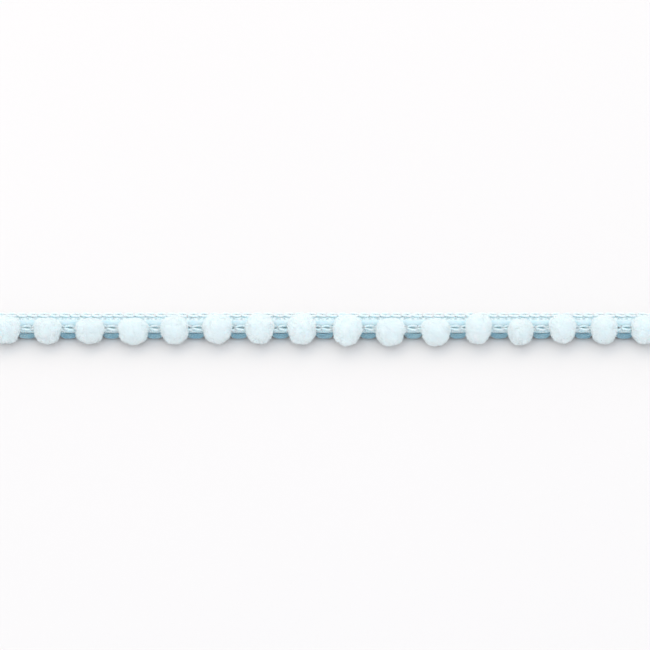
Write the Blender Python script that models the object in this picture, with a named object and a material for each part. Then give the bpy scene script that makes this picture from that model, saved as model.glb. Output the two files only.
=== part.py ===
"""A cut length of mini pompom fringe trim, lying on a flat surface.

A narrow knitted braid runs along X. Its near edge passes through a row of small sheared pompoms,
which prop that edge up, and its far edge slopes down to the surface. +X runs along the trim, -Y is
the side where the pompoms are, +Z is up, and the origin is under the middle of the trim.
"""

import math
import random
from collections import namedtuple

import bmesh
import bpy
from mathutils import Matrix, Vector

MM = 0.001

# Spacing along the trim
POMPOM_PITCH = 7.5 * MM
STITCHES_PER_POMPOM = 4
STATIONS_PER_STITCH = 4

# Distance from the line of the pompoms back to the middle of the whole trim, in Y
LINE_TO_MIDDLE = 1.15 * MM

# Clearance between the braid and the pile that closes round it
SEAT_GAP = 0.3 * MM

# Sheared pile of a pompom, as shares of its radius
TUFTS = 16
TUFT_DEPTH = 0.07
TUFT_ROUNDING = 0.35
LUMPINESS = 0.025

# Fuller pile at both sides of a pompom, where the braid leaves it and the shears do not reach
SIDE_SWELL = 0.10
SIDE_SWELL_REACH = 0.75
SIDE_SWELL_DIRECTION = (0.86, 0.36, 0.36)

# Height that the weight of the trim presses off the bottom of each pompom
FLAT_SPOT_PRESS = 0.14 * MM

# One row for each pompom, from the left end. Sizes are in millimetres and the lean in degrees.
# slip: distance along the trim from its even place
# width, height: across the trim's length, and up and down
# back: how far its middle lies behind the line of the pompoms
# shoulder: share by which its pile is wider beside the braid than in front
# lean: turn of its top towards +X
Pompom = namedtuple("Pompom", "slip width height back shoulder lean")
POMPOMS = (
    Pompom(0.10, 5.1, 5.1, 0.10, 0.06, -6),
    Pompom(0.20, 5.3, 5.2, 0.20, 0.08, 4),
    Pompom(0.05, 4.8, 4.9, 0.05, 0.14, 8),
    Pompom(0.00, 5.1, 4.8, 0.00, 0.12, 0),
    Pompom(0.10, 5.3, 4.9, -0.10, 0.16, 6),
    Pompom(-0.20, 4.9, 5.4, 0.15, 0.02, -10),
    Pompom(-0.20, 5.2, 5.6, 0.30, 0.08, 5),
    Pompom(-0.30, 5.0, 5.7, 0.25, 0.05, 8),
    Pompom(-0.50, 5.1, 5.7, 0.15, 0.04, -4),
    Pompom(-0.05, 5.0, 5.9, -0.20, 0.06, 18),
    Pompom(0.00, 5.1, 5.2, -0.35, 0.12, 3),
    Pompom(0.50, 5.0, 5.1, -0.35, 0.20, -8),
    Pompom(0.40, 4.6, 5.7, 0.15, 0.10, 10),
    Pompom(0.30, 4.5, 4.9, -0.20, 0.02, 0),
    Pompom(0.15, 4.7, 5.5, 0.30, 0.03, -5),
    Pompom(-0.10, 4.7, 5.3, 0.15, 0.03, 7),
    Pompom(-0.45, 4.8, 5.4, 0.15, 0.10, 5),
    Pompom(-0.10, 5.0, 5.1, 0.00, 0.08, -5),
)

# The braid's section, round from the near edge over the top. Millimetres, y from the line of the
# pompoms and z from the surface. A stitch raises the point by rise at most, and pushes it back by
# push; late is how much later along the trim that wale's stitches come, in stitches. Between two
# pompoms the slack lower yarn of the near edge sags, and moves the point by sag_y and sag_z.
SectionPoint = namedtuple("SectionPoint", "y z rise push late sag_y sag_z", defaults=(0.0, 0.0))
BRAID_SECTION = (
    SectionPoint(0.35, 1.30, 0.00, 0.00, 0.0, -0.07, -0.68),
    SectionPoint(0.34, 1.36, 0.00, 0.00, 0.0, -0.39, -0.56),
    SectionPoint(0.33, 1.43, 0.00, 0.00, 0.0, -0.43, -0.28),
    SectionPoint(0.32, 1.50, 0.00, 0.00, 0.0, 0.03, -0.10),
    SectionPoint(0.30, 1.80, 0.00, -0.12, 0.5),
    SectionPoint(0.80, 2.20, 0.28, 0.00, 0.5),
    SectionPoint(1.35, 2.15, 0.00, 0.00, 0.0),
    SectionPoint(2.05, 2.45, 0.35, 0.00, 0.0),
    SectionPoint(2.85, 2.00, 0.00, 0.00, 0.0),
    SectionPoint(4.60, 1.15, 0.24, 0.00, 0.0),
    SectionPoint(5.25, 0.78, 0.00, 0.18, 0.5),
    SectionPoint(5.30, 0.25, 0.00, 0.00, 0.0),
    SectionPoint(5.15, 0.00, 0.00, 0.00, 0.0),
    SectionPoint(4.15, 0.00, 0.00, 0.00, 0.0),
    SectionPoint(2.00, 1.45, 0.00, 0.00, 0.0),
    SectionPoint(1.10, 1.37, 0.00, 0.00, 0.0, -0.15, -0.12),
    SectionPoint(0.75, 1.335, 0.00, 0.00, 0.0, -0.13, -0.535),
)

# Half the length over which that yarn sags fully, and half the length of the whole sag
FULL_SAG = 0.60 * MM
SAG_REACH = 1.00 * MM

PILE_BLUE = (0.77, 0.89, 0.93, 1.0)
BRAID_BLUE = (0.56, 0.78, 0.86, 1.0)

STITCH_LENGTH = POMPOM_PITCH / STITCHES_PER_POMPOM
BRAID_LENGTH = POMPOM_PITCH * len(POMPOMS)


def clear_scene():
    for obj in list(bpy.data.objects):
        bpy.data.objects.remove(obj)


def cloth_material(name, colour, roughness):
    material = bpy.data.materials.new(name)
    material.use_nodes = True
    shader = material.node_tree.nodes["Principled BSDF"]
    shader.inputs["Base Color"].default_value = colour
    shader.inputs["Roughness"].default_value = roughness
    shader.inputs["Metallic"].default_value = 0.0
    return material


def add_object(name, bm, material=None):
    """Turns a bmesh into a named object and frees the bmesh."""
    bmesh.ops.recalc_face_normals(bm, faces=bm.faces)
    mesh = bpy.data.meshes.new(name)
    bm.to_mesh(mesh)
    bm.free()
    obj = bpy.data.objects.new(name, mesh)
    bpy.context.scene.collection.objects.link(obj)
    if material:
        mesh.materials.append(material)
    return obj


def stitch_swell(x, late):
    """How full the chain stitches of a wale are at x: 0 where two of them meet, 1 at a crown."""
    return math.sin(math.pi * (x / STITCH_LENGTH - late)) ** 2


def pompom_x(number):
    """Where the middle of a pompom lies along the trim. number counts from 1 at the left end."""
    even_place = (number - (len(POMPOMS) + 1) / 2) * POMPOM_PITCH
    return even_place + POMPOMS[number - 1].slip * MM


def gap_middles():
    """x midway between each two neighbouring pompoms, and at both cut ends."""
    middles = [-BRAID_LENGTH / 2, BRAID_LENGTH / 2]
    for number, (left, right) in enumerate(zip(POMPOMS, POMPOMS[1:]), start=1):
        left_side = pompom_x(number) + left.width / 2 * MM
        right_side = pompom_x(number + 1) - right.width / 2 * MM
        middles.append((left_side + right_side) / 2)
    return middles


def sag_share(x):
    """How far the lower yarn has sagged at x: 1 between two pompoms, 0 where a pompom binds it."""
    from_middle = min(abs(x - middle) for middle in gap_middles())
    share = (SAG_REACH - from_middle) / (SAG_REACH - FULL_SAG)
    return max(0.0, min(1.0, share))


def section_at(x):
    """(y, z) of the braid's section at x, with its stitches raised and its lower yarn sagging."""
    sag = sag_share(x)
    points = []
    for point in BRAID_SECTION:
        swell = stitch_swell(x, point.late)
        y = (point.y + point.push * swell + point.sag_y * sag) * MM - LINE_TO_MIDDLE
        z = (point.z + point.rise * swell + point.sag_z * sag) * MM
        points.append(Vector((y, z)))
    return points


def fullest_section():
    """(y, z) of the section inside a pompom that holds every stitch at its crown."""
    return [
        Vector(((p.y + p.push) * MM - LINE_TO_MIDDLE, (p.z + p.rise) * MM))
        for p in BRAID_SECTION
    ]


def grown_outline(points, distance):
    """A closed outline moved outwards by distance. The points run round with the outside on their left."""
    grown = []
    for i, point in enumerate(points):
        before = (point - points[i - 1]).normalized()
        after = (points[(i + 1) % len(points)] - point).normalized()
        normal_before = Vector((-before.y, before.x))
        normal_after = Vector((-after.y, after.x))
        corner = (normal_before + normal_after).normalized()
        grown.append(point + corner * (distance / corner.dot(normal_after)))
    return grown


def run_along(stations, section):
    """A closed solid through section(x) at each station, made by extruding the first section."""
    bm = bmesh.new()
    spot = bm.verts.layers.int.new("spot")
    first = []
    for i, (y, z) in enumerate(section(stations[0])):
        vert = bm.verts.new((stations[0], y, z))
        vert[spot] = i
        first.append(vert)
    end_face = bm.faces.new(first)
    for x in stations[1:]:
        grown = bmesh.ops.extrude_face_region(bm, geom=[end_face, *end_face.edges])["geom"]
        points = section(x)
        for vert in (e for e in grown if isinstance(e, bmesh.types.BMVert)):
            y, z = points[vert[spot]]
            vert.co = (x, y, z)
        end_face = next(e for e in grown if isinstance(e, bmesh.types.BMFace))
    return bm


def build_braid(material):
    count = len(POMPOMS) * STITCHES_PER_POMPOM * STATIONS_PER_STITCH
    step = BRAID_LENGTH / count
    stations = [-BRAID_LENGTH / 2 + step * i for i in range(count + 1)]
    return add_object("braid", run_along(stations, section_at), material)


def build_seat_cutter():
    """The room that the braid needs inside the pompoms, used only to cut them."""
    seat = grown_outline(fullest_section(), SEAT_GAP)
    ends = [-BRAID_LENGTH, BRAID_LENGTH]
    cutter = add_object("braid_seat_cutter", run_along(ends, lambda x: seat))
    cutter.hide_render = True
    cutter.display_type = "WIRE"
    return cutter


def tuft_directions(dice):
    """Evenly spread directions on a sphere, one for each tuft, turned at random."""
    turn = Matrix.Rotation(dice.uniform(0, 2 * math.pi), 3, "Z")
    tip = Matrix.Rotation(dice.uniform(0, 2 * math.pi), 3, "X")
    golden_angle = math.pi * (3 - math.sqrt(5))
    directions = []
    for i in range(TUFTS):
        height = 1 - (2 * i + 1) / TUFTS
        around = golden_angle * i
        ring = math.sqrt(1 - height * height)
        spot = Vector((ring * math.cos(around), ring * math.sin(around), height))
        directions.append(turn @ tip @ spot)
    return directions


def pile_radius(direction, tufts, lengths):
    """Radius of the sheared pile in a direction: full over a tuft, lower where two tufts part."""
    nearness = sorted(
        ((direction.dot(tuft), length) for tuft, length in zip(tufts, lengths)), reverse=True
    )
    (nearest, length), (second, _) = nearness[:2]
    parting = min(1.0, (nearest - second) / TUFT_ROUNDING)
    return length - TUFT_DEPTH * (1 - parting)


def side_swell(direction):
    """Share that the pile grows by beside the braid, most along the two side directions."""
    side = Vector((abs(direction.x), direction.y, direction.z))
    nearness = side.dot(Vector(SIDE_SWELL_DIRECTION).normalized())
    return SIDE_SWELL * max(0.0, (nearness - SIDE_SWELL_REACH) / (1 - SIDE_SWELL_REACH))


def press_flat_spot(bm, depth):
    """Flattens the bottom of the pile by depth and returns the height of the flat spot."""
    floor = min(vert.co.z for vert in bm.verts) + depth
    everything = [*bm.verts, *bm.edges, *bm.faces]
    cut = bmesh.ops.bisect_plane(
        bm, geom=everything, plane_co=(0, 0, floor), plane_no=(0, 0, -1), clear_outer=True
    )
    rim = [e for e in cut["geom_cut"] if isinstance(e, bmesh.types.BMEdge)]
    bmesh.ops.contextual_create(bm, geom=rim)
    return floor


def build_pompom(number, row, material, seat_cutter):
    dice = random.Random(number)
    tufts = tuft_directions(dice)
    lengths = [1 + dice.uniform(-LUMPINESS, LUMPINESS) for _ in tufts]
    bm = bmesh.new()
    bmesh.ops.create_icosphere(bm, subdivisions=3, radius=1.0)
    for vert in bm.verts:
        direction = vert.co.normalized()
        vert.co = direction * (pile_radius(direction, tufts, lengths) + side_swell(direction))
        towards_braid = (vert.co.y + vert.co.z) / math.sqrt(2)
        vert.co.x *= 1 + row.shoulder * towards_braid
    half_width, half_height = row.width / 2 * MM, row.height / 2 * MM
    lean = Matrix.Rotation(math.radians(row.lean), 4, "Y")
    size = Matrix.Diagonal((half_width, half_height, half_height, 1))
    bmesh.ops.transform(bm, matrix=lean @ size, verts=bm.verts)
    for face in bm.faces:
        face.smooth = True
    floor = press_flat_spot(bm, FLAT_SPOT_PRESS)
    pompom = add_object(f"pompom_{number:02d}", bm, material)
    pompom.location = (pompom_x(number), row.back * MM - LINE_TO_MIDDLE, -floor)
    seat = pompom.modifiers.new("seat on the braid", "BOOLEAN")
    seat.operation = "DIFFERENCE"
    seat.solver = "EXACT"
    seat.object = seat_cutter
    return pompom


def main():
    clear_scene()
    pile = cloth_material("pompom pile", PILE_BLUE, 0.95)
    yarn = cloth_material("braid yarn", BRAID_BLUE, 0.85)
    build_braid(yarn)
    seat_cutter = build_seat_cutter()
    for number, row in enumerate(POMPOMS, start=1):
        build_pompom(number, row, pile, seat_cutter)


main()
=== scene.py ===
"""Looks for a cut length of pale blue mini pompom trim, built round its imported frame.

Sizes are in metres, and MM turns millimetres into metres. +X runs along the trim, -Y is the side of
the pompoms, +Z is up, and the trim lies on z = 0.
"""

import math
import random
from collections import namedtuple

import bmesh
import bpy
from mathutils import Matrix, Vector


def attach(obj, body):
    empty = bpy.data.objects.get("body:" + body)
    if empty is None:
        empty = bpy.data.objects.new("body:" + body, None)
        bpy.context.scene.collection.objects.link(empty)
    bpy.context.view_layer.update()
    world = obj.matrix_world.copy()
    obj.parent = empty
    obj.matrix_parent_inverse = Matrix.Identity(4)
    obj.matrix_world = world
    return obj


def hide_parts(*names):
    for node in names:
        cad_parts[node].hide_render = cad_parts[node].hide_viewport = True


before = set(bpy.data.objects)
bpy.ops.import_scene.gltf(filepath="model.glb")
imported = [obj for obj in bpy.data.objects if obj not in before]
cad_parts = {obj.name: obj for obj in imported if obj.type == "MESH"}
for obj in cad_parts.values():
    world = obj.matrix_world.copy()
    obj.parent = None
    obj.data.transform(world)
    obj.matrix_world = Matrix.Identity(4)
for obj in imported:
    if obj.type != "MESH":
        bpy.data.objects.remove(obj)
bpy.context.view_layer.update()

MM = 0.001

# The trim's own sizes, as the frame has them
POMPOM_PITCH = 7.5 * MM
STITCHES_PER_POMPOM = 4
STITCH_LENGTH = POMPOM_PITCH / STITCHES_PER_POMPOM
LINE_TO_MIDDLE = 1.15 * MM
TUFTS = 16
TUFT_DEPTH = 0.07
TUFT_ROUNDING = 0.35
LUMPINESS = 0.025
SIDE_SWELL = 0.10
SIDE_SWELL_REACH = 0.75
SIDE_SWELL_DIRECTION = (0.86, 0.36, 0.36)
FLAT_SPOT_PRESS = 0.14 * MM

# The lower front half of each ball is fuller across than the frame's ball, by up to this share
FRONT_FULLNESS = 0.12

# One row for each pompom, from the left end. Sizes are in millimetres and the lean in degrees.
Pompom = namedtuple("Pompom", "slip width height back shoulder lean")
POMPOMS = (
    Pompom(0.10, 5.1, 5.1, 0.10, 0.06, -6),
    Pompom(0.20, 5.3, 5.2, 0.20, 0.08, 4),
    Pompom(0.05, 4.8, 4.9, 0.05, 0.14, 8),
    Pompom(0.00, 5.1, 4.8, 0.00, 0.12, 0),
    Pompom(0.10, 5.3, 4.9, -0.10, 0.16, 6),
    Pompom(-0.20, 4.9, 5.4, 0.15, 0.02, -10),
    Pompom(-0.20, 5.2, 5.6, 0.30, 0.08, 5),
    Pompom(-0.30, 5.0, 5.7, 0.25, 0.05, 8),
    Pompom(-0.50, 5.1, 5.7, 0.15, 0.04, -4),
    Pompom(-0.05, 5.0, 5.9, -0.20, 0.06, 18),
    Pompom(0.00, 5.1, 5.2, -0.35, 0.12, 3),
    Pompom(0.50, 5.0, 5.1, -0.35, 0.20, -8),
    Pompom(0.40, 4.6, 5.7, 0.15, 0.10, 10),
    Pompom(0.30, 4.5, 4.9, -0.20, 0.02, 0),
    Pompom(0.15, 4.7, 5.5, 0.30, 0.03, -5),
    Pompom(-0.10, 4.7, 5.3, 0.15, 0.03, 7),
    Pompom(-0.45, 4.8, 5.4, 0.15, 0.10, 5),
    Pompom(-0.10, 5.0, 5.1, 0.00, 0.08, -5),
)
BRAID_LENGTH = POMPOM_PITCH * len(POMPOMS)

# Half the length over which the slack lower yarn sags between two pompoms, and of the part drawn.
# It hangs lower and is thicker than the sagging lump of the frame's braid.
SAG_REACH = 1.75 * MM
SAG_SHARPNESS = 4
SLACK_REACH = 2.1 * MM
SLACK_STEPS = 6
BOUND_FULLNESS = 0.6
END_TOLERANCE = 0.001 * MM

# Middle of that yarn where a pompom binds it and where it sags fully: (y, z) in millimetres
BOUND_PLACE = (0.62, 1.55)
SAGGED_PLACE = (0.13, 0.77)
SLACK_PLIES = 7
SLACK_PLY_SIZE = 0.34 * MM
SLACK_HALF_WIDTH = 0.23 * MM
SLACK_HALF_HEIGHT = 0.44 * MM
SLACK_TWIST = 5.0 * MM

# Pile: fibres stand on a core that is this share of the ball, and their sheared tips make its outside
CORE_SHARE = 0.96
FIBRES_PER_POMPOM = 7500
FIBRE_LENGTH = 0.16 * MM
FIBRE_RADIUS = 0.03 * MM
FIBRE_LENGTH_SPREAD = (0.60, 2.30)
LONG_FIBRE_RARITY = 4
YARN_END_SIZE = 0.55 * MM
YARN_END_GATHER = 0.25
YARN_END_RELIEF = 0.06 * MM
STRAY_TILT = 0.30

# Threads of the braid, and the loose fibres that stand off them
CHAIN_THREAD = 0.40 * MM
WEFT_THREAD = 0.26 * MM
WEFT_THREADS = 4
WEFT_EDGES = (0.55, 5.2)
WEFT_CROSSING = (0.06, 0.35, 0.65, 0.94)
WEFT_LIFT = 0.05
WEFT_STRETCH = (-0.08, 0.12)
CHAIN_SIDES = 8
WEFT_SIDES = 7
PLY_SIDES = 6
PLIES_IN_THREAD = 2
THREAD_TWIST = 0.9 * MM
FUZZ_LENGTH = 0.14 * MM
FUZZ_RADIUS = 0.008 * MM
FUZZ_STRAY = 0.9

# How far the points of a thread stray sideways and up or down, in millimetres
SIDEWAYS_WANDER = 0.03
HEIGHT_WANDER = 0.02

# Room that the pile leaves round the braid: (y, z) in millimetres, y from the line of the pompoms
SEAT_OUTLINE = (
    (0.14, 1.22),
    (0.10, 1.90),
    (0.70, 2.58),
    (1.40, 2.62),
    (2.10, 2.90),
    (2.90, 2.45),
    (4.70, 1.60),
    (5.60, 1.00),
    (5.60, -0.60),
    (4.10, -0.20),
    (1.95, 1.36),
)

# Under and upper sides of the braid's ground strip, (y, z) in millimetres from the near edge
GROUND_UNDER = ((0.32, 1.34), (2.00, 1.46), (4.15, 0.01), (5.12, 0.01), (5.24, 0.20))
GROUND_TOP = ((0.24, 1.72), (0.50, 1.94), (1.10, 1.92), (2.80, 1.82), (4.60, 0.98), (5.22, 0.50))
GROUND_STATIONS_PER_STITCH = 6

# Cut yarn ends of the ground and of the filling, spaced in millimetres
CUT_YARN_SPACING = 0.27
CUT_YARN_LENGTHS = (0.05, 0.40)
CUT_YARN_SPLAY_ACROSS = (-0.12, 0.12)
CUT_YARN_SPLAY_UP = (-0.10, 0.04)
CUT_YARN_LOWEST = 0.13
CUT_YARN_POINTS = (-0.8, 0.0, 0.6, 1.0)
CUT_FILLING_RINGS = ((0.0, 1), (0.34, 7))
CUT_FILLING_STRETCH = (1.3, 0.8)

# The filling yarn, in millimetres: its size where a stitch pinches it, and its swell between two
FILLING_MIDDLE = (1.88, 2.10)
FILLING_HALF_SIZE = (0.54, 0.38)
FILLING_SWELL = (0.16, 0.15)
FILLING_LIFT = 0.04
FILLING_STRANDS = 3
FILLING_STRAND_RELIEF = 0.05
FILLING_STRAND_TURN = 0.4 * MM
FILLING_SIDES = 14
FILLING_STATIONS_PER_STITCH = 8
FILLING_FUZZ = 9000
FILLING_FUZZ_SEED = 7
FILLING_FUZZ_LENGTH = 1.2 * FUZZ_LENGTH
FILLING_FUZZ_RADIUS = 1.5 * FUZZ_RADIUS

# A turn of the weft round the far edge, (y, z) in millimetres from the top to the surface
EDGE_WRAP = ((4.60, 1.02), (5.00, 0.84), (5.30, 0.62), (5.38, 0.36), (5.28, 0.16), (5.02, 0.13))
WRAPS_PER_STITCH = 4
WRAP_SLANT = 0.9

# The two wales of chain stitches, in millimetres. late is the share of a stitch by which the loops
# are shifted, and slope the drop of the braid towards +Y there.
Wale = namedtuple("Wale", "y z width late slope")
NEAR_WALE = Wale(0.76, 2.12, 0.84, 0.5, -0.1)
FAR_WALE = Wale(4.54, 1.14, 1.06, 0.0, 0.5)
STITCH_SIZE_SPREAD = 0.07

# Fineness of the patterns in the finishes, in grains to the metre
TIP_GRAIN = 7000.0
THREAD_GRAIN = 14000.0
THREAD_PATCHES = 700.0
DYE_PATCHES = 90.0
ROVING_GRAIN = 9000.0
ROVING_PATCHES = 900.0
FLOOR_CLOUDS = 12.0

# Colours, linear
PILE_TIP = (0.955, 0.965, 0.95, 1)
# Painted shade: the pile's root colour is darker and bluer for the shade down between the fibres
PILE_ROOT_PAINTED_SHADE = (0.88, 0.935, 0.93, 1)
PILE_SHADE = (0.89, 0.95, 0.945, 1)
THREAD_BLUE = (0.90, 0.965, 0.975, 1)
# The groove colours are partly random dye tone and partly painted shade in the creases between plies,
# fibres and ribs
THREAD_DYE_AND_PAINTED_SHADE = (0.83, 0.935, 0.955, 1)
# Painted shade: the weft is the braid thread made a deeper blue, for the shade it lies in between the
# wales
WEFT_BLUE_WITH_PAINTED_SHADE = (0.72, 0.91, 0.955, 1)
WEFT_DYE_AND_PAINTED_SHADE = (0.50, 0.79, 0.87, 1)
# Painted shade: the near wale's thread is the braid thread made darker and bluer, for the shade of the
# filling yarn and the balls
NEAR_BLUE_WITH_PAINTED_SHADE = (0.81, 0.935, 0.965, 1)
NEAR_DYE_AND_PAINTED_SHADE = (0.68, 0.87, 0.925, 1)
GROUND_BLUE = (0.84, 0.94, 0.965, 1)
GROUND_DYE_AND_PAINTED_SHADE = (0.68, 0.87, 0.92, 1)
FILLING_BLUE = (0.76, 0.85, 0.88, 1)
FILLING_DYE_AND_PAINTED_SHADE = (0.60, 0.77, 0.83, 1)
# Painted shade: the slack lower yarn's deep blue stands for the shade under the braid's near edge
# between the balls
SLACK_BLUE_WITH_PAINTED_SHADE = (0.42, 0.62, 0.68, 1)
SLACK_DYE_AND_PAINTED_SHADE = (0.16, 0.36, 0.51, 1)
FLOOR_WHITE = (0.845, 0.778, 0.753, 1)
FLOOR_DULLEST = 0.985

# Soft studio light: a pale surround, and a warm panel behind the trim on the left
SURROUND_COLOUR = (0.90, 1.0, 1.082, 1)
SURROUND_STRENGTH = 1.10
PANEL_COLOUR = (1.0, 0.85, 0.64)
PANEL_POWER = 2.85
PANEL_SIZE = (1.8, 0.5)
PANEL_PLACE = (-0.18, 0.47, 0.78)

# Camera, at the angle that the trim is seen from
CAMERA_LENS = 285
CAMERA_ELEVATION = 50
CAMERA_DISTANCE = 0.9
CAMERA_AIM = (-0.157, 0.03, 2.5)


class Socket:
    """An output of a node, used in sums as a number is."""

    def __init__(self, book, socket):
        self.book = book
        self.socket = socket

    def __add__(self, other):
        return self.book.math("ADD", self, other)

    def __mul__(self, other):
        return self.book.math("MULTIPLY", self, other)

    def __sub__(self, other):
        return self.book.math("SUBTRACT", self, other)

    def __rsub__(self, other):
        return self.book.math("SUBTRACT", other, self)

    def __truediv__(self, other):
        return self.book.math("DIVIDE", self, other)

    def __pow__(self, other):
        return self.book.math("POWER", self, other)

    __radd__ = __add__
    __rmul__ = __mul__


class NodeBook:
    """Adds nodes to the tree of a material or of a modifier."""

    def __init__(self, tree):
        self.tree = tree

    def node(self, kind, settings=None, inputs=None):
        added = self.tree.nodes.new(kind)
        for name, value in (settings or {}).items():
            setattr(added, name, value)
        for name, value in (inputs or {}).items():
            self.feed(added.inputs[name], value)
        return added

    def feed(self, socket, value):
        if isinstance(value, Socket):
            self.tree.links.new(value.socket, socket)
        else:
            socket.default_value = value

    def out(self, output, kind, settings=None, inputs=None):
        return Socket(self, self.node(kind, settings, inputs).outputs[output])

    def math(self, operation, first, second):
        return self.out("Value", "ShaderNodeMath", {"operation": operation}, {0: first, 1: second})

    def vector(self, operation, inputs):
        return self.out("Vector", "ShaderNodeVectorMath", {"operation": operation}, inputs)

    def colour_between(self, share, first, second):
        return self.out(2, "ShaderNodeMix", {"data_type": "RGBA"}, {0: share, 6: first, 7: second})

    def spread(self, value, low, high, to_low=0.0, to_high=1.0):
        wide = {"From Min": low, "From Max": high, "To Min": to_low, "To Max": to_high}
        return self.out("Result", "ShaderNodeMapRange", {}, {"Value": value, **wide})

    def attribute(self, name):
        return self.out("Fac", "ShaderNodeAttribute", {"attribute_name": name})

    def noise(self, place, scale, detail=2.0):
        inputs = {"Vector": place, "Scale": scale, "Detail": detail}
        return self.out("Fac", "ShaderNodeTexNoise", {}, inputs)

    def raised(self, strength, distance, height):
        inputs = {"Strength": strength, "Distance": distance, "Height": height}
        return self.out("Normal", "ShaderNodeBump", {}, inputs)


def new_finish(name, roughness, sheen, glow=0.0, glow_depth=0.0):
    """A material with its fixed values set, and the book and shader to work on. glow is the share of
    light that passes through the fibres, about as far as glow_depth."""
    material = bpy.data.materials.new(name)
    material.use_nodes = True
    shader = material.node_tree.nodes["Principled BSDF"]
    shader.inputs["Roughness"].default_value = roughness
    shader.inputs["Sheen Weight"].default_value = sheen
    shader.inputs["Sheen Roughness"].default_value = 0.6
    shader.inputs["Specular IOR Level"].default_value = 0.25
    shader.inputs["Subsurface Weight"].default_value = glow
    shader.inputs["Subsurface Radius"].default_value = (0.6, 0.9, 1.0)
    shader.inputs["Subsurface Scale"].default_value = glow_depth
    return material, NodeBook(material.node_tree), shader


def pile_finish():
    """Cut polyester fibres: paler at the sheared tips, with painted shade making them darker and bluer
    down between them and on the core.
    """
    material, book, shader = new_finish("sheared pile", 0.9, 0.1, 0.5, 0.5 * MM)
    # Painted shade: fibre roots, and the core, which carries no height along a fibre, take the darker
    # root colour
    painted_depth_shade = book.colour_between(book.spread(book.attribute("height"), 0.1, 0.85), PILE_ROOT_PAINTED_SHADE, PILE_TIP)
    colour = book.colour_between(book.attribute("tint") * 0.4, painted_depth_shade, PILE_SHADE)
    book.feed(shader.inputs["Base Color"], colour)
    place = book.out("Object", "ShaderNodeTexCoord")
    tips = book.noise(place, TIP_GRAIN)
    book.feed(shader.inputs["Normal"], book.raised(0.4, 0.05 * MM, tips))
    return material


def thread_finish(name, colour, dye_and_painted_shade):
    """Twisted yarn: its plies turn round it, darker where they meet as painted shade, with random dye
    tone and fine fibres all over.
    """
    material, book, shader = new_finish(name, 0.8, 0.2, 0.6, 0.8 * MM)
    along, ply_sine, ply_cosine = map(book.attribute, ("along", "ply_sine", "ply_cosine"))
    turn = along * (2 * math.pi * PLIES_IN_THREAD / THREAD_TWIST)
    ply = book.math("SINE", turn, 0.0) * ply_cosine + book.math("COSINE", turn, 0.0) * ply_sine
    place = book.out("Object", "ShaderNodeTexCoord")
    fibre = book.noise(place, THREAD_GRAIN, 3.0)
    patch = book.noise(place, THREAD_PATCHES)
    dye = book.noise(place, DYE_PATCHES)
    # Painted shade: the dark end falls in the troughs of the plies and fibres, mixed with random tone
    # from patches and dye
    light = book.spread(ply * 0.35 + fibre * 0.5 + patch * 0.5 + dye * 0.8 - 0.4, 0.15, 0.85)
    book.feed(shader.inputs["Base Color"], book.colour_between(light, dye_and_painted_shade, colour))
    relief = ply * 0.5 + fibre * 0.8
    book.feed(shader.inputs["Normal"], book.raised(0.9, 0.04 * MM, relief))
    return material


def roving_finish(name, colour, dye_and_painted_shade, stretch, rib_pitch, rib_slant, rib_share):
    """Loose yarn or dense ground: fibres that lie mostly along the trim, in ribs across it, with
    painted shade in the troughs between the ribs.
    """
    material, book, shader = new_finish(name, 0.85, 0.2, 0.6, 0.8 * MM)
    place = book.out("Object", "ShaderNodeTexCoord")
    drawn_out = book.vector("MULTIPLY", {0: place, 1: (stretch, 1.0, 1.0)})
    fibre = book.noise(drawn_out, ROVING_GRAIN, 3.0)
    patch = book.noise(place, ROVING_PATCHES)
    across = book.out("Y", "ShaderNodeSeparateXYZ", {}, {"Vector": place}) * rib_slant
    along = book.out("X", "ShaderNodeSeparateXYZ", {}, {"Vector": place})
    rib = book.math("SINE", (along + across) * (2 * math.pi / rib_pitch), 0.0)
    # Painted shade: the dark end falls in the troughs of the ribs and fibres, mixed with random tone
    # from patches
    light = book.spread(fibre * 0.6 + patch * 0.5 + rib * rib_share, 0.3, 0.8)
    book.feed(shader.inputs["Base Color"], book.colour_between(light, dye_and_painted_shade, colour))
    relief = fibre + rib * rib_share * 2
    book.feed(shader.inputs["Normal"], book.raised(0.8, 0.08 * MM, relief))
    return material


def floor_finish():
    """White, smooth and matt, with the faintest unevenness."""
    material, book, shader = new_finish("white surface", 0.7, 0.0)
    place = book.out("Object", "ShaderNodeTexCoord")
    cloud = book.noise(place, FLOOR_CLOUDS)
    off_white = tuple(c * FLOOR_DULLEST for c in FLOOR_WHITE[:3]) + (1,)
    book.feed(shader.inputs["Base Color"], book.colour_between(cloud, off_white, FLOOR_WHITE))
    return material


def add_object(name, mesh, *materials):
    piece = bpy.data.objects.new(name, mesh)
    bpy.context.scene.collection.objects.link(piece)
    for material in materials:
        mesh.materials.append(material)
    return piece


def mesh_from(name, bm):
    mesh = bpy.data.meshes.new(name)
    bm.to_mesh(mesh)
    bm.free()
    return mesh


def settle(piece):
    """Leaves only the mesh that the piece's modifiers, or its curve, make."""
    shape = piece.evaluated_get(bpy.context.evaluated_depsgraph_get())
    mesh = bpy.data.meshes.new_from_object(shape)
    piece.modifiers.clear()
    piece.data = mesh


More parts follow.
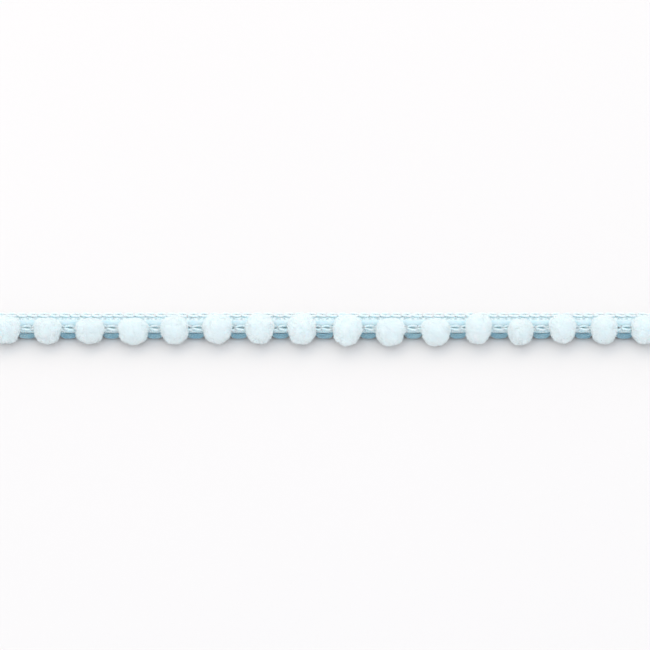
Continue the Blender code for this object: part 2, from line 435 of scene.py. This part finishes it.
def run_along(stations, section):
    """A closed solid through section(x) at each station, made by extruding the first section."""
    bm = bmesh.new()
    spot = bm.verts.layers.int.new("spot")
    first = []
    for i, (y, z) in enumerate(section(stations[0])):
        vert = bm.verts.new((stations[0], y, z))
        vert[spot] = i
        first.append(vert)
    end_face = bm.faces.new(first)
    for x in stations[1:]:
        grown = bmesh.ops.extrude_face_region(bm, geom=[end_face, *end_face.edges])["geom"]
        points = section(x)
        for vert in (e for e in grown if isinstance(e, bmesh.types.BMVert)):
            y, z = points[vert[spot]]
            vert.co = (x, y, z)
        end_face = next(e for e in grown if isinstance(e, bmesh.types.BMFace))
    bmesh.ops.recalc_face_normals(bm, faces=bm.faces)
    return bm


def in_place(outline):
    """(y, z) in metres of an outline given in millimetres from the line of the pompoms."""
    return [(y * MM - LINE_TO_MIDDLE, z * MM) for y, z in outline]


def fibre_grower():
    """A modifier that stands fibres on a core mesh along its normals, gathered into yarn ends."""
    tree = bpy.data.node_groups.new("fibre grower", "GeometryNodeTree")
    names = ("Fibres", "Seed", "Area", "Length", "Thickness", "Gather", "Relief", "Stray")
    tree.interface.new_socket("Core", in_out="INPUT", socket_type="NodeSocketGeometry")
    for name in names:
        kind = "NodeSocketInt" if name in ("Fibres", "Seed") else "NodeSocketFloat"
        tree.interface.new_socket(name, in_out="INPUT", socket_type=kind)
    tree.interface.new_socket("Finish", in_out="INPUT", socket_type="NodeSocketMaterial")
    tree.interface.new_socket("Pile", in_out="OUTPUT", socket_type="NodeSocketGeometry")
    book = NodeBook(tree)
    given = book.node("NodeGroupInput")
    core = Socket(book, given.outputs["Core"])
    finish = Socket(book, given.outputs["Finish"])
    count, seed, area, length, thickness, gather, relief, stray = (
        Socket(book, given.outputs[name]) for name in names
    )
    place = book.out("Position", "GeometryNodeInputPosition")
    cells = book.node(
        "ShaderNodeTexVoronoi",
        {"feature": "F1"},
        {"Vector": place, "Scale": 1 / YARN_END_SIZE, "Randomness": 0.9},
    )
    normal = book.out("Normal", "GeometryNodeInputNormal")
    dip = Socket(book, cells.outputs["Distance"]) * relief * -1
    sunk = book.vector("SCALE", {0: normal, "Scale": dip})
    core = book.out("Geometry", "GeometryNodeSetPosition", {}, {"Geometry": core, "Offset": sunk})

    material_index = book.out("Material Index", "GeometryNodeInputMaterialIndex")
    outside = book.out(
        "Result",
        "FunctionNodeCompare",
        {"data_type": "INT", "operation": "EQUAL"},
        {2: material_index, 3: 0},
    )
    scattered = book.node(
        "GeometryNodeDistributePointsOnFaces",
        {"distribute_method": "RANDOM"},
        {"Mesh": core, "Selection": outside, "Density": count / area, "Seed": seed},
    )
    roots = Socket(book, scattered.outputs["Points"])

    # The normals of the core are lost on the points, so each point brings its own along
    upright = book.vector("SCALE", {0: Socket(book, scattered.outputs["Normal"]), "Scale": length})
    to_middle = book.vector("SUBTRACT", {0: Socket(book, cells.outputs["Position"]), 1: place})
    gathered = book.vector("SCALE", {0: to_middle, "Scale": gather})
    any_way = book.out(
        "Value",
        "FunctionNodeRandomValue",
        {"data_type": "FLOAT_VECTOR"},
        {0: (-1, -1, -1), 1: (1, 1, 1), "Seed": seed + 1},
    )
    sway = book.vector("SCALE", {0: any_way, "Scale": length * stray})
    lean = book.vector("ADD", {0: gathered, 1: sway})
    towards = book.vector("ADD", {0: upright, 1: lean})
    upwards = {"axis": "Z"}
    turned = book.out("Rotation", "FunctionNodeAlignRotationToVector", upwards, {"Vector": towards})
    chance = book.out(1, "FunctionNodeRandomValue", {"data_type": "FLOAT"}, {"Seed": seed + 2})
    chance = book.spread(chance**LONG_FIBRE_RARITY, 0, 1, *FIBRE_LENGTH_SPREAD)
    size = book.out(
        "Vector",
        "ShaderNodeCombineXYZ",
        {},
        {"X": thickness, "Y": thickness, "Z": length * chance},
    )

    tint = book.out(1, "FunctionNodeRandomValue", {"data_type": "FLOAT"}, {"Seed": seed + 3})
    tinted = book.out(
        "Geometry",
        "GeometryNodeStoreNamedAttribute",
        {"data_type": "FLOAT", "domain": "POINT"},
        {"Geometry": roots, "Name": "tint", "Value": tint},
    )
    fibre = book.out(
        "Mesh",
        "GeometryNodeMeshCone",
        {"fill_type": "NGON"},
        {"Vertices": 3, "Radius Top": 0.0, "Radius Bottom": 1.0, "Depth": 1.0},
    )
    height = book.out("Z", "ShaderNodeSeparateXYZ", {}, {"Vector": place})
    marked = book.out(
        "Geometry",
        "GeometryNodeStoreNamedAttribute",
        {"data_type": "FLOAT", "domain": "POINT"},
        {"Geometry": fibre, "Name": "height", "Value": height},
    )
    standing = book.out(
        "Instances",
        "GeometryNodeInstanceOnPoints",
        {},
        {"Points": tinted, "Instance": marked, "Rotation": turned, "Scale": size},
    )
    fibres = book.out("Geometry", "GeometryNodeRealizeInstances", {}, {"Geometry": standing})
    dyed = {"Geometry": fibres, "Material": finish}
    fibres = book.out("Geometry", "GeometryNodeSetMaterial", {}, dyed)
    joined = book.node("GeometryNodeJoinGeometry")
    tree.links.new(fibres.socket, joined.inputs[0])
    tree.links.new(core.socket, joined.inputs[0])
    given_back = book.node("NodeGroupOutput")
    tree.links.new(joined.outputs[0], given_back.inputs[0])
    return tree


def set_inputs(modifier, settings):
    """Gives the inputs of a node modifier their values by name."""
    for item in modifier.node_group.interface.items_tree:
        if item.name in settings:
            modifier[item.identifier] = settings[item.name]


def grow_fibres(piece, grower, fibres, seed, length, thickness, finish, stray, gather=0.0, relief=0.0):
    """Stands fibres all over the faces of a piece that take its first material, none of them below
    the surface that the trim lies on."""
    grow = piece.modifiers.new("fibres", "NODES")
    grow.node_group = grower
    area = sum(face.area for face in piece.data.polygons if face.material_index == 0)
    set_inputs(
        grow,
        {
            "Fibres": fibres,
            "Seed": seed,
            "Area": area,
            "Length": length,
            "Thickness": thickness,
            "Gather": gather,
            "Relief": relief,
            "Stray": stray,
            "Finish": finish,
        },
    )
    settle(piece)
    for vert in piece.data.vertices:
        vert.co.z = max(vert.co.z, 0.0)


def thread_spinner():
    """A modifier that gives a curve a round body, with where each point lies along and round it."""
    tree = bpy.data.node_groups.new("thread spinner", "GeometryNodeTree")
    tree.interface.new_socket("Curve", in_out="INPUT", socket_type="NodeSocketGeometry")
    tree.interface.new_socket("Radius", in_out="INPUT", socket_type="NodeSocketFloat")
    tree.interface.new_socket("Sides", in_out="INPUT", socket_type="NodeSocketInt")
    tree.interface.new_socket("Finish", in_out="INPUT", socket_type="NodeSocketMaterial")
    tree.interface.new_socket("Thread", in_out="OUTPUT", socket_type="NodeSocketGeometry")
    book = NodeBook(tree)
    given = book.node("NodeGroupInput")
    path, radius, sides, finish = (Socket(book, given.outputs[i]) for i in range(4))

    def stored(geometry, name, value):
        return book.out(
            "Geometry",
            "GeometryNodeStoreNamedAttribute",
            {"data_type": "FLOAT", "domain": "POINT"},
            {"Geometry": geometry, "Name": name, "Value": value},
        )

    path = stored(path, "along", book.out("Length", "GeometryNodeSplineParameter"))
    ring = book.out(
        "Curve",
        "GeometryNodeCurvePrimitiveCircle",
        {"mode": "RADIUS"},
        {"Resolution": sides, "Radius": radius},
    )
    turn = book.out("Factor", "GeometryNodeSplineParameter") * (2 * math.pi * PLIES_IN_THREAD)
    ring = stored(ring, "ply_sine", book.math("SINE", turn, 0.0))
    ring = stored(ring, "ply_cosine", book.math("COSINE", turn, 0.0))
    body = book.out(
        "Mesh",
        "GeometryNodeCurveToMesh",
        {},
        {"Curve": path, "Profile Curve": ring, "Fill Caps": True},
    )
    body = book.out("Geometry", "GeometryNodeSetMaterial", {}, {"Geometry": body, "Material": finish})
    given_back = book.node("NodeGroupOutput")
    tree.links.new(body.socket, given_back.inputs[0])
    return tree


def seat_cutter():
    """The room for the braid, whose walls take the second material of what it cuts."""
    outline = in_place(SEAT_OUTLINE)
    mesh = mesh_from("seat", run_along([-BRAID_LENGTH, BRAID_LENGTH], lambda x: outline))
    cutter = add_object("seat", mesh, None, None)
    for face in mesh.polygons:
        face.material_index = 1
    return cutter


def tuft_directions(dice):
    """Evenly spread directions on a sphere, one for each tuft, turned at random."""
    turn = Matrix.Rotation(dice.uniform(0, 2 * math.pi), 3, "Z")
    tip = Matrix.Rotation(dice.uniform(0, 2 * math.pi), 3, "X")
    golden_angle = math.pi * (3 - math.sqrt(5))
    directions = []
    for i in range(TUFTS):
        height = 1 - (2 * i + 1) / TUFTS
        around = golden_angle * i
        ring = math.sqrt(1 - height * height)
        spot = Vector((ring * math.cos(around), ring * math.sin(around), height))
        directions.append(turn @ tip @ spot)
    return directions


def pile_radius(direction, tufts, lengths):
    """Radius of the sheared pile in a direction: full over a tuft, lower where two tufts part."""
    nearness = sorted(
        ((direction.dot(tuft), length) for tuft, length in zip(tufts, lengths)), reverse=True
    )
    (nearest, length), (second, _) = nearness[:2]
    parting = min(1.0, (nearest - second) / TUFT_ROUNDING)
    return length - TUFT_DEPTH * (1 - parting)


def side_swell(direction):
    """Share that the pile grows by beside the braid, most along the two side directions."""
    side = Vector((abs(direction.x), direction.y, direction.z))
    nearness = side.dot(Vector(SIDE_SWELL_DIRECTION).normalized())
    return SIDE_SWELL * max(0.0, (nearness - SIDE_SWELL_REACH) / (1 - SIDE_SWELL_REACH))


def pompom_core(number, row):
    """The core of a ball round its own middle, and where that middle lies."""
    dice = random.Random(number)
    tufts = tuft_directions(dice)
    lengths = [1 + dice.uniform(-LUMPINESS, LUMPINESS) for _ in tufts]
    bm = bmesh.new()
    bmesh.ops.create_icosphere(bm, subdivisions=5, radius=1.0)
    for vert in bm.verts:
        direction = vert.co.normalized()
        vert.co = direction * (pile_radius(direction, tufts, lengths) + side_swell(direction))
        towards_braid = (vert.co.y + vert.co.z) / math.sqrt(2)
        fullness = row.shoulder if towards_braid > 0 else -FRONT_FULLNESS
        vert.co.x *= 1 + fullness * towards_braid
    half_width, half_height = row.width / 2 * MM, row.height / 2 * MM
    lean = Matrix.Rotation(math.radians(row.lean), 4, "Y")
    size = Matrix.Diagonal((half_width, half_height, half_height, 1))
    bmesh.ops.transform(bm, matrix=lean @ size, verts=bm.verts)
    middle_height = -(min(vert.co.z for vert in bm.verts) + FLAT_SPOT_PRESS)
    bmesh.ops.scale(bm, vec=(CORE_SHARE,) * 3, verts=bm.verts)
    middle = Vector((pompom_x(number), row.back * MM - LINE_TO_MIDDLE, middle_height))
    return bm, middle


def make_pompom(number, row, finish, cutter, grower):
    """A ball of fibres standing on a core that leaves room for the braid."""
    name = f"pompom_{number:02d}"
    bm, middle = pompom_core(number, row)
    bmesh.ops.translate(bm, vec=middle, verts=bm.verts)
    piece = add_object(f"{name}_pile", mesh_from(name, bm), finish, finish)
    seat = piece.modifiers.new("seat", "BOOLEAN")
    seat.operation = "DIFFERENCE"
    seat.solver = "EXACT"
    seat.object = cutter
    settle(piece)
    grow_fibres(
        piece,
        grower,
        FIBRES_PER_POMPOM,
        number,
        FIBRE_LENGTH,
        FIBRE_RADIUS,
        finish,
        STRAY_TILT,
        gather=YARN_END_GATHER,
        relief=YARN_END_RELIEF,
    )
    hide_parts(name)
    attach(piece, "root")


def make_ground(finish):
    """The dense ground of the braid, under its raised stitches."""
    count = len(POMPOMS) * STITCHES_PER_POMPOM * GROUND_STATIONS_PER_STITCH
    step = BRAID_LENGTH / count
    stations = [-BRAID_LENGTH / 2 + step * i for i in range(count + 1)]
    outline = in_place(GROUND_UNDER + tuple(reversed(GROUND_TOP)))
    mesh = mesh_from("braid ground", run_along(stations, lambda x: outline))
    piece = add_object("braid_ground", mesh, finish)
    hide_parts("braid")
    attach(piece, "root")


def thread_piece(name, paths, thickness, sides, finish, spinner, grower, fuzz):
    """One mesh of round threads with a little fuzz, each along a smooth path of points."""
    curve = bpy.data.curves.new(name, "CURVE")
    curve.dimensions = "3D"
    for path in paths:
        spline = curve.splines.new("NURBS")
        spline.points.add(len(path) - 1)
        spline.order_u = 4
        spline.use_endpoint_u = True
        spline.resolution_u = 2
        for knot, point in zip(spline.points, path):
            knot.co = (*point, 1.0)
    drawn = add_object(f"{name} path", curve)
    spin = drawn.modifiers.new("spin", "NODES")
    spin.node_group = spinner
    set_inputs(spin, {"Radius": thickness / 2, "Sides": sides, "Finish": finish})
    mesh = bpy.data.meshes.new_from_object(drawn.evaluated_get(bpy.context.evaluated_depsgraph_get()))
    bpy.data.objects.remove(drawn)
    mesh.materials.clear()
    piece = add_object(name, mesh, finish)
    for face in piece.data.polygons:
        face.use_smooth = True
    grow_fibres(piece, grower, fuzz, len(paths), FUZZ_LENGTH, FUZZ_RADIUS, finish, FUZZ_STRAY)
    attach(piece, "root")


# Half of a chain stitch, from its foot to the top of its loop: along and across in shares of the
# stitch's length and width, rise in shares of the thread's thickness
LoopPoint = namedtuple("LoopPoint", "along across rise")
HALF_LOOP = (
    LoopPoint(-0.12, 0.10, -0.55),
    LoopPoint(0.10, 0.16, 0.35),
    LoopPoint(0.38, 0.42, 0.45),
    LoopPoint(0.72, 0.52, 0.20),
    LoopPoint(0.98, 0.40, 0.00),
    LoopPoint(1.10, 0.14, -0.25),
)


def chain_paths(wale, dice):
    """Paths of the interlocked loops of one wale."""
    paths = []
    count = len(POMPOMS) * STITCHES_PER_POMPOM
    for i in range(-1, count + 1):
        start = -BRAID_LENGTH / 2 + (i + wale.late) * STITCH_LENGTH
        size = 1 + dice.uniform(-STITCH_SIZE_SPREAD, STITCH_SIZE_SPREAD)
        path = []
        halves = [(p, 1) for p in HALF_LOOP] + [(p, -1) for p in reversed(HALF_LOOP)]
        for point, side in halves:
            across = point.across * side * (wale.width * MM) * size
            x = start + point.along * STITCH_LENGTH
            if abs(x) > BRAID_LENGTH / 2:
                continue
            sideways = dice.uniform(-SIDEWAYS_WANDER, SIDEWAYS_WANDER)
            wander = Vector((0, sideways, dice.uniform(-HEIGHT_WANDER, HEIGHT_WANDER))) * MM
            y = wale.y * MM - LINE_TO_MIDDLE + across
            z = wale.z * MM + point.rise * CHAIN_THREAD - across * wale.slope
            path.append(Vector((x, y, z)) + wander)
        if len(path) > 4:
            paths.append(path)
    return paths


# Height of the tops of the ground and of the threads laid over it, (y, z) in millimetres
LAID_HEIGHT = ((0.40, 1.72), (1.10, 1.98), (2.80, 1.84), (4.60, 0.98), (5.25, 0.55), (5.45, 0.42))


def height_at(line, y):
    """Height of a line of (y, z) points at y."""
    for (y0, z0), (y1, z1) in zip(line, line[1:]):
        if y <= y1:
            break
    share = (y - y0) / (y1 - y0)
    return z0 + (z1 - z0) * share


def weft_paths(dice):
    """Threads that run to and fro between the two edges, one crossing to each stitch."""
    paths = []
    near, far = WEFT_EDGES
    crossings = len(POMPOMS) * STITCHES_PER_POMPOM
    for thread in range(WEFT_THREADS):
        path = []
        shift = thread / WEFT_THREADS
        for i in range(crossings + 2):
            start = -BRAID_LENGTH / 2 + (i - shift) * STITCH_LENGTH
            forward = (i + thread) % 2 == 0
            stretch = dice.uniform(*WEFT_STRETCH)
            for share in WEFT_CROSSING:
                x = start + share * STITCH_LENGTH
                if abs(x) > BRAID_LENGTH / 2:
                    continue
                across = share if forward else 1 - share
                y = near + (far + stretch - near) * across
                wave = WEFT_LIFT * math.sin(3 * math.pi * across)
                wander = dice.uniform(-HEIGHT_WANDER, HEIGHT_WANDER)
                z = height_at(LAID_HEIGHT, y) + (wave + wander)
                path.append(Vector((x, y * MM - LINE_TO_MIDDLE, z * MM)))
        paths.append(path)
    return paths


def wrap_paths(dice):
    """Turns of the weft round the far edge, down to the surface."""
    paths = []
    count = len(POMPOMS) * STITCHES_PER_POMPOM * WRAPS_PER_STITCH
    step = BRAID_LENGTH / count
    for i in range(count):
        x = -BRAID_LENGTH / 2 + (i + 0.5) * step
        path = []
        for spot, (y, z) in enumerate(EDGE_WRAP):
            slant = (spot / (len(EDGE_WRAP) - 1) - 0.5) * step * WRAP_SLANT
            wander = dice.uniform(-SIDEWAYS_WANDER, SIDEWAYS_WANDER)
            path.append(Vector((x + slant, (y + wander) * MM - LINE_TO_MIDDLE, z * MM)))
        paths.append(path)
    return paths


def cut_yarn_places():
    """(y, z) in millimetres of the yarns that are cut through at an end of the length."""
    places = []
    columns = round((GROUND_UNDER[-1][0] - GROUND_TOP[0][0]) / CUT_YARN_SPACING)
    for column in range(1, columns):
        y = GROUND_TOP[0][0] + column * CUT_YARN_SPACING
        under, top = height_at(GROUND_UNDER, y), height_at(GROUND_TOP, y)
        rows = max(1, round((top - under) / CUT_YARN_SPACING))
        for row in range(rows):
            places.append((y, under + (row + 0.5) * (top - under) / rows))
    middle_y, middle_z = FILLING_MIDDLE
    wide, high = CUT_FILLING_STRETCH
    for ring, count in CUT_FILLING_RINGS:
        for i in range(count):
            turn = 2 * math.pi * i / count
            y = middle_y + ring * math.cos(turn) * wide
            z = middle_z + ring * math.sin(turn) * high
            places.append((y, z))
    return places


def cut_end_paths(dice):
    """Short ends of the yarns that run along the braid, where the length was cut off."""
    paths = []
    for end in (-1, 1):
        for y, z in cut_yarn_places():
            length = dice.uniform(*CUT_YARN_LENGTHS)
            across = dice.uniform(*CUT_YARN_SPLAY_ACROSS)
            up = dice.uniform(*CUT_YARN_SPLAY_UP)
            path = []
            for share in CUT_YARN_POINTS:
                outside = max(0.0, share)
                x = end * (BRAID_LENGTH / 2 + share * length * MM)
                height = max(CUT_YARN_LOWEST, z + up * outside)
                path.append(Vector((x, (y + across * outside) * MM - LINE_TO_MIDDLE, height * MM)))
            paths.append(path)
    return paths


def pompom_x(number):
    """Where the middle of a pompom lies along the trim. number counts from 1 at the left end."""
    even_place = (number - (len(POMPOMS) + 1) / 2) * POMPOM_PITCH
    return even_place + POMPOMS[number - 1].slip * MM


def gap_middles():
    """x midway between each two neighbouring pompoms, and at both cut ends."""
    middles = [-BRAID_LENGTH / 2, BRAID_LENGTH / 2]
    for number, (left, right) in enumerate(zip(POMPOMS, POMPOMS[1:]), start=1):
        left_side = pompom_x(number) + left.width / 2 * MM
        right_side = pompom_x(number + 1) - right.width / 2 * MM
        middles.append((left_side + right_side) / 2)
    return middles


def slack_paths(dice):
    """The twisted plies of the slack lower yarn in each gap between pompoms and at each cut end."""
    paths = []
    bound, sagged = (Vector(place) * MM for place in (BOUND_PLACE, SAGGED_PLACE))
    for middle in gap_middles():
        start = dice.uniform(0, 2 * math.pi)
        for ply in range(SLACK_PLIES):
            path = []
            for step in range(-SLACK_STEPS, SLACK_STEPS + 1):
                from_middle = step * SLACK_REACH / SLACK_STEPS
                x = middle + from_middle
                if abs(x) > BRAID_LENGTH / 2 + END_TOLERANCE:
                    continue
                sag = max(0.0, 1 - (from_middle / SAG_REACH) ** SAG_SHARPNESS)
                centre = bound + (sagged - bound) * sag
                turn = start + 2 * math.pi * (ply / SLACK_PLIES + from_middle / SLACK_TWIST)
                fullness = BOUND_FULLNESS + (1 - BOUND_FULLNESS) * sag
                y = centre.x - LINE_TO_MIDDLE + fullness * SLACK_HALF_WIDTH * math.cos(turn)
                z = centre.y + fullness * SLACK_HALF_HEIGHT * math.sin(turn)
                path.append(Vector((x, y, z)))
            paths.append(path)
    return paths


def make_filling(finish, grower):
    """The soft thick yarn that lies along the middle of the braid, pinched by each stitch."""
    count = len(POMPOMS) * STITCHES_PER_POMPOM * FILLING_STATIONS_PER_STITCH
    step = BRAID_LENGTH / count
    stations = [-BRAID_LENGTH / 2 + step * i for i in range(count + 1)]
    middle_y, middle_z = FILLING_MIDDLE
    wide, high = FILLING_HALF_SIZE
    wider, higher = FILLING_SWELL

    def section(x):
        swell = math.sin(math.pi * x / STITCH_LENGTH) ** 2
        half_width = (wide + wider * swell) * MM
        half_height = (high + higher * swell) * MM
        middle = Vector((middle_y * MM - LINE_TO_MIDDLE, (middle_z + FILLING_LIFT * swell) * MM))
        points = []
        for i in range(FILLING_SIDES):
            turn = 2 * math.pi * i / FILLING_SIDES
            ripple = math.sin(FILLING_STRANDS * turn + x / FILLING_STRAND_TURN)
            strand = 1 + FILLING_STRAND_RELIEF * ripple
            y = middle.x + half_width * strand * math.cos(turn)
            z = middle.y + half_height * strand * math.sin(turn)
            points.append((y, z))
        return points

    mesh = mesh_from("filling yarn", run_along(stations, section))
    for face in mesh.polygons:
        face.use_smooth = True
    piece = add_object("braid_filling_yarn", mesh, finish)
    grow_fibres(
        piece,
        grower,
        FILLING_FUZZ,
        FILLING_FUZZ_SEED,
        FILLING_FUZZ_LENGTH,
        FILLING_FUZZ_RADIUS,
        finish,
        FUZZ_STRAY,
    )
    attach(piece, "root")


def make_stage(finish):
    """The white surface, the soft light from behind on the left, and the camera."""
    bm = bmesh.new()
    bmesh.ops.create_grid(bm, x_segments=1, y_segments=1, size=2.0)
    floor = add_object("floor", mesh_from("floor", bm), finish)

    world = bpy.data.worlds.new("studio")
    world.use_nodes = True
    world.node_tree.nodes["Background"].inputs["Color"].default_value = SURROUND_COLOUR
    world.node_tree.nodes["Background"].inputs["Strength"].default_value = SURROUND_STRENGTH
    bpy.context.scene.world = world

    key = bpy.data.lights.new("key", "AREA")
    key.shape = "RECTANGLE"
    key.size, key.size_y = PANEL_SIZE
    key.color = PANEL_COLOUR
    key.energy = PANEL_POWER
    lamp = bpy.data.objects.new("key", key)
    lamp.location = PANEL_PLACE
    lamp.rotation_euler = (Vector((0, 0, 0)) - lamp.location).to_track_quat("-Z", "Y").to_euler()
    bpy.context.scene.collection.objects.link(lamp)

    view = bpy.data.cameras.new("camera")
    view.sensor_width = 36
    view.lens = CAMERA_LENS
    view.clip_start = 0.01
    view.clip_end = 10
    camera = bpy.data.objects.new("camera", view)
    elevation = math.radians(CAMERA_ELEVATION)
    aim = Vector(CAMERA_AIM) * MM
    back = Vector((0, -math.cos(elevation), math.sin(elevation)))
    camera.location = aim + back * CAMERA_DISTANCE
    camera.rotation_euler = (math.pi / 2 - elevation, 0, 0)
    bpy.context.scene.collection.objects.link(camera)
    bpy.context.scene.camera = camera
    bpy.context.scene.view_settings.view_transform = "Standard"


def main():
    pile = pile_finish()
    thread = thread_finish("braid thread", THREAD_BLUE, THREAD_DYE_AND_PAINTED_SHADE)
    # The weft's finish is the braid thread with painted shade, a deeper blue
    weft_thread_with_painted_shade = thread_finish("weft thread with painted shade", WEFT_BLUE_WITH_PAINTED_SHADE, WEFT_DYE_AND_PAINTED_SHADE)
    # The near wale's finish is the braid thread with painted shade, darker and bluer
    near_thread_with_painted_shade = thread_finish("near wale thread with painted shade", NEAR_BLUE_WITH_PAINTED_SHADE, NEAR_DYE_AND_PAINTED_SHADE)
    # The slack lower yarn's deep blue finish is painted shade
    slack = thread_finish("slack lower yarn", SLACK_BLUE_WITH_PAINTED_SHADE, SLACK_DYE_AND_PAINTED_SHADE)
    rib, coil = STITCH_LENGTH / 5, STITCH_LENGTH / 4
    ground = roving_finish("braid ground", GROUND_BLUE, GROUND_DYE_AND_PAINTED_SHADE, 0.6, rib, 0.3, 0.25)
    filling = roving_finish("filling yarn", FILLING_BLUE, FILLING_DYE_AND_PAINTED_SHADE, 0.2, coil, 2.5, 0.12)
    cutter = seat_cutter()
    grower = fibre_grower()
    spinner = thread_spinner()
    for number, row in enumerate(POMPOMS, start=1):
        make_pompom(number, row, pile, cutter, grower)
    bpy.data.objects.remove(cutter)
    dice = random.Random(70)
    make_ground(ground)
    make_filling(filling, grower)
    near = chain_paths(NEAR_WALE, dice)
    far = chain_paths(FAR_WALE, dice)
    weft = weft_paths(dice)
    for name, paths, thickness, sides, finish, fuzz in (
        ("braid_near_wale", near, CHAIN_THREAD, CHAIN_SIDES, near_thread_with_painted_shade, 5000),
        ("braid_far_wale", far, CHAIN_THREAD, CHAIN_SIDES, thread, 5000),
        ("braid_weft", weft, WEFT_THREAD, WEFT_SIDES, weft_thread_with_painted_shade, 4000),
        ("braid_slack_yarn", slack_paths(dice), SLACK_PLY_SIZE, PLY_SIDES, slack, 2500),
        ("braid_edge_wraps", wrap_paths(dice), WEFT_THREAD, PLY_SIDES, thread, 2500),
        ("braid_cut_ends", cut_end_paths(dice), WEFT_THREAD, PLY_SIDES, thread, 1500),
    ):
        thread_piece(name, paths, thickness, sides, finish, spinner, grower, fuzz)
    make_stage(floor_finish())


main()
